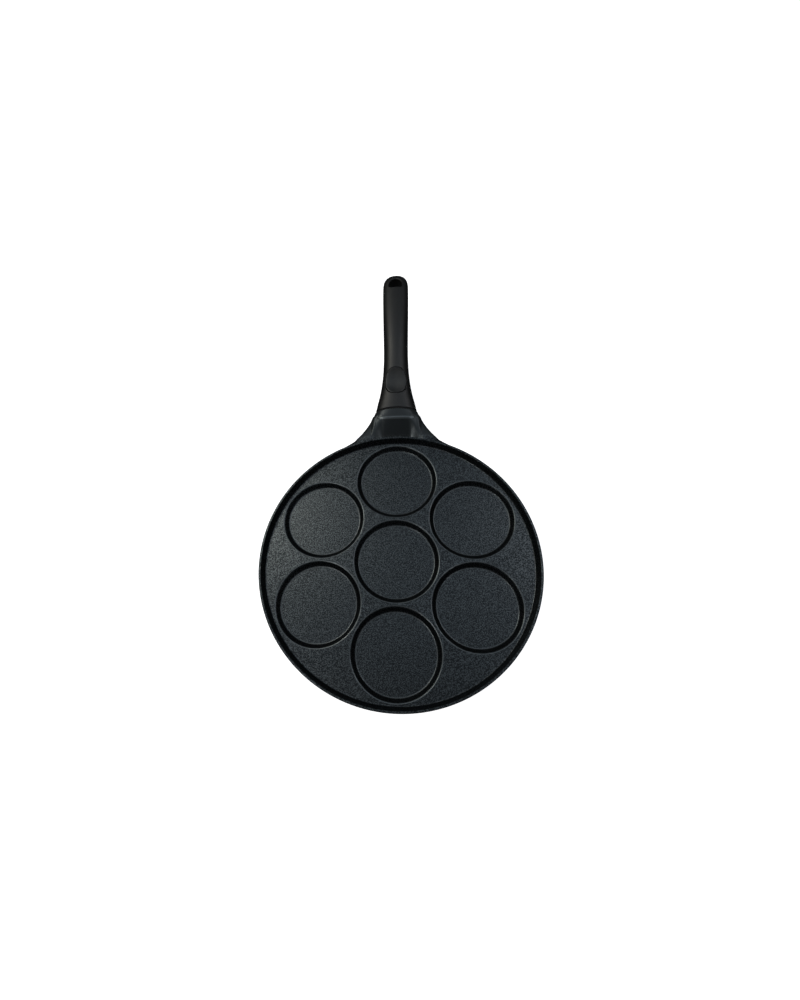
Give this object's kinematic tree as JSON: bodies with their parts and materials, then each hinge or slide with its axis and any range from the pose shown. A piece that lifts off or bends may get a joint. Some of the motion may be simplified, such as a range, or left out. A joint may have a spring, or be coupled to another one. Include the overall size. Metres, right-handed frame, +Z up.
{
  "type": "pancake pan",
  "caption": "Round cast pan with shallow round baking cups around a middle one, a low flared rim and a flaring neck that carries a moulded handle with a thumb rest and a hanging eye.",
  "frame": {"origin": "centre of the flat base, on the plane the pan stands on", "axes": "+Y along the handle away from the pan, +Z up out of the cups, +X to the right of someone looking along the handle from the pan"},
  "size_m": [0.2674, 0.4611, 0.0589],
  "materials": {
    "coated_casting": "die casting with a sprayed charcoal non-stick coat, fine metallic speckle",
    "soft_touch": "moulded phenolic with a matte soft-touch skin",
    "pad_rubber": "matte soft inlay",
    "gasket_rubber": "matte black",
    "zinc_steel": "bright zinc plate",
    "brass": "turned and knurled"
  },
  "bodies": {
    "root": {"pan_body": "coated_casting", "handle": "soft_touch", "thumb_rest": "pad_rubber", "joint_gasket": "gasket_rubber", "handle_screw": "zinc_steel", "spring_washer": "zinc_steel", "plain_washer": "zinc_steel", "threaded_insert": "brass"}
  },
  "joints": []
}
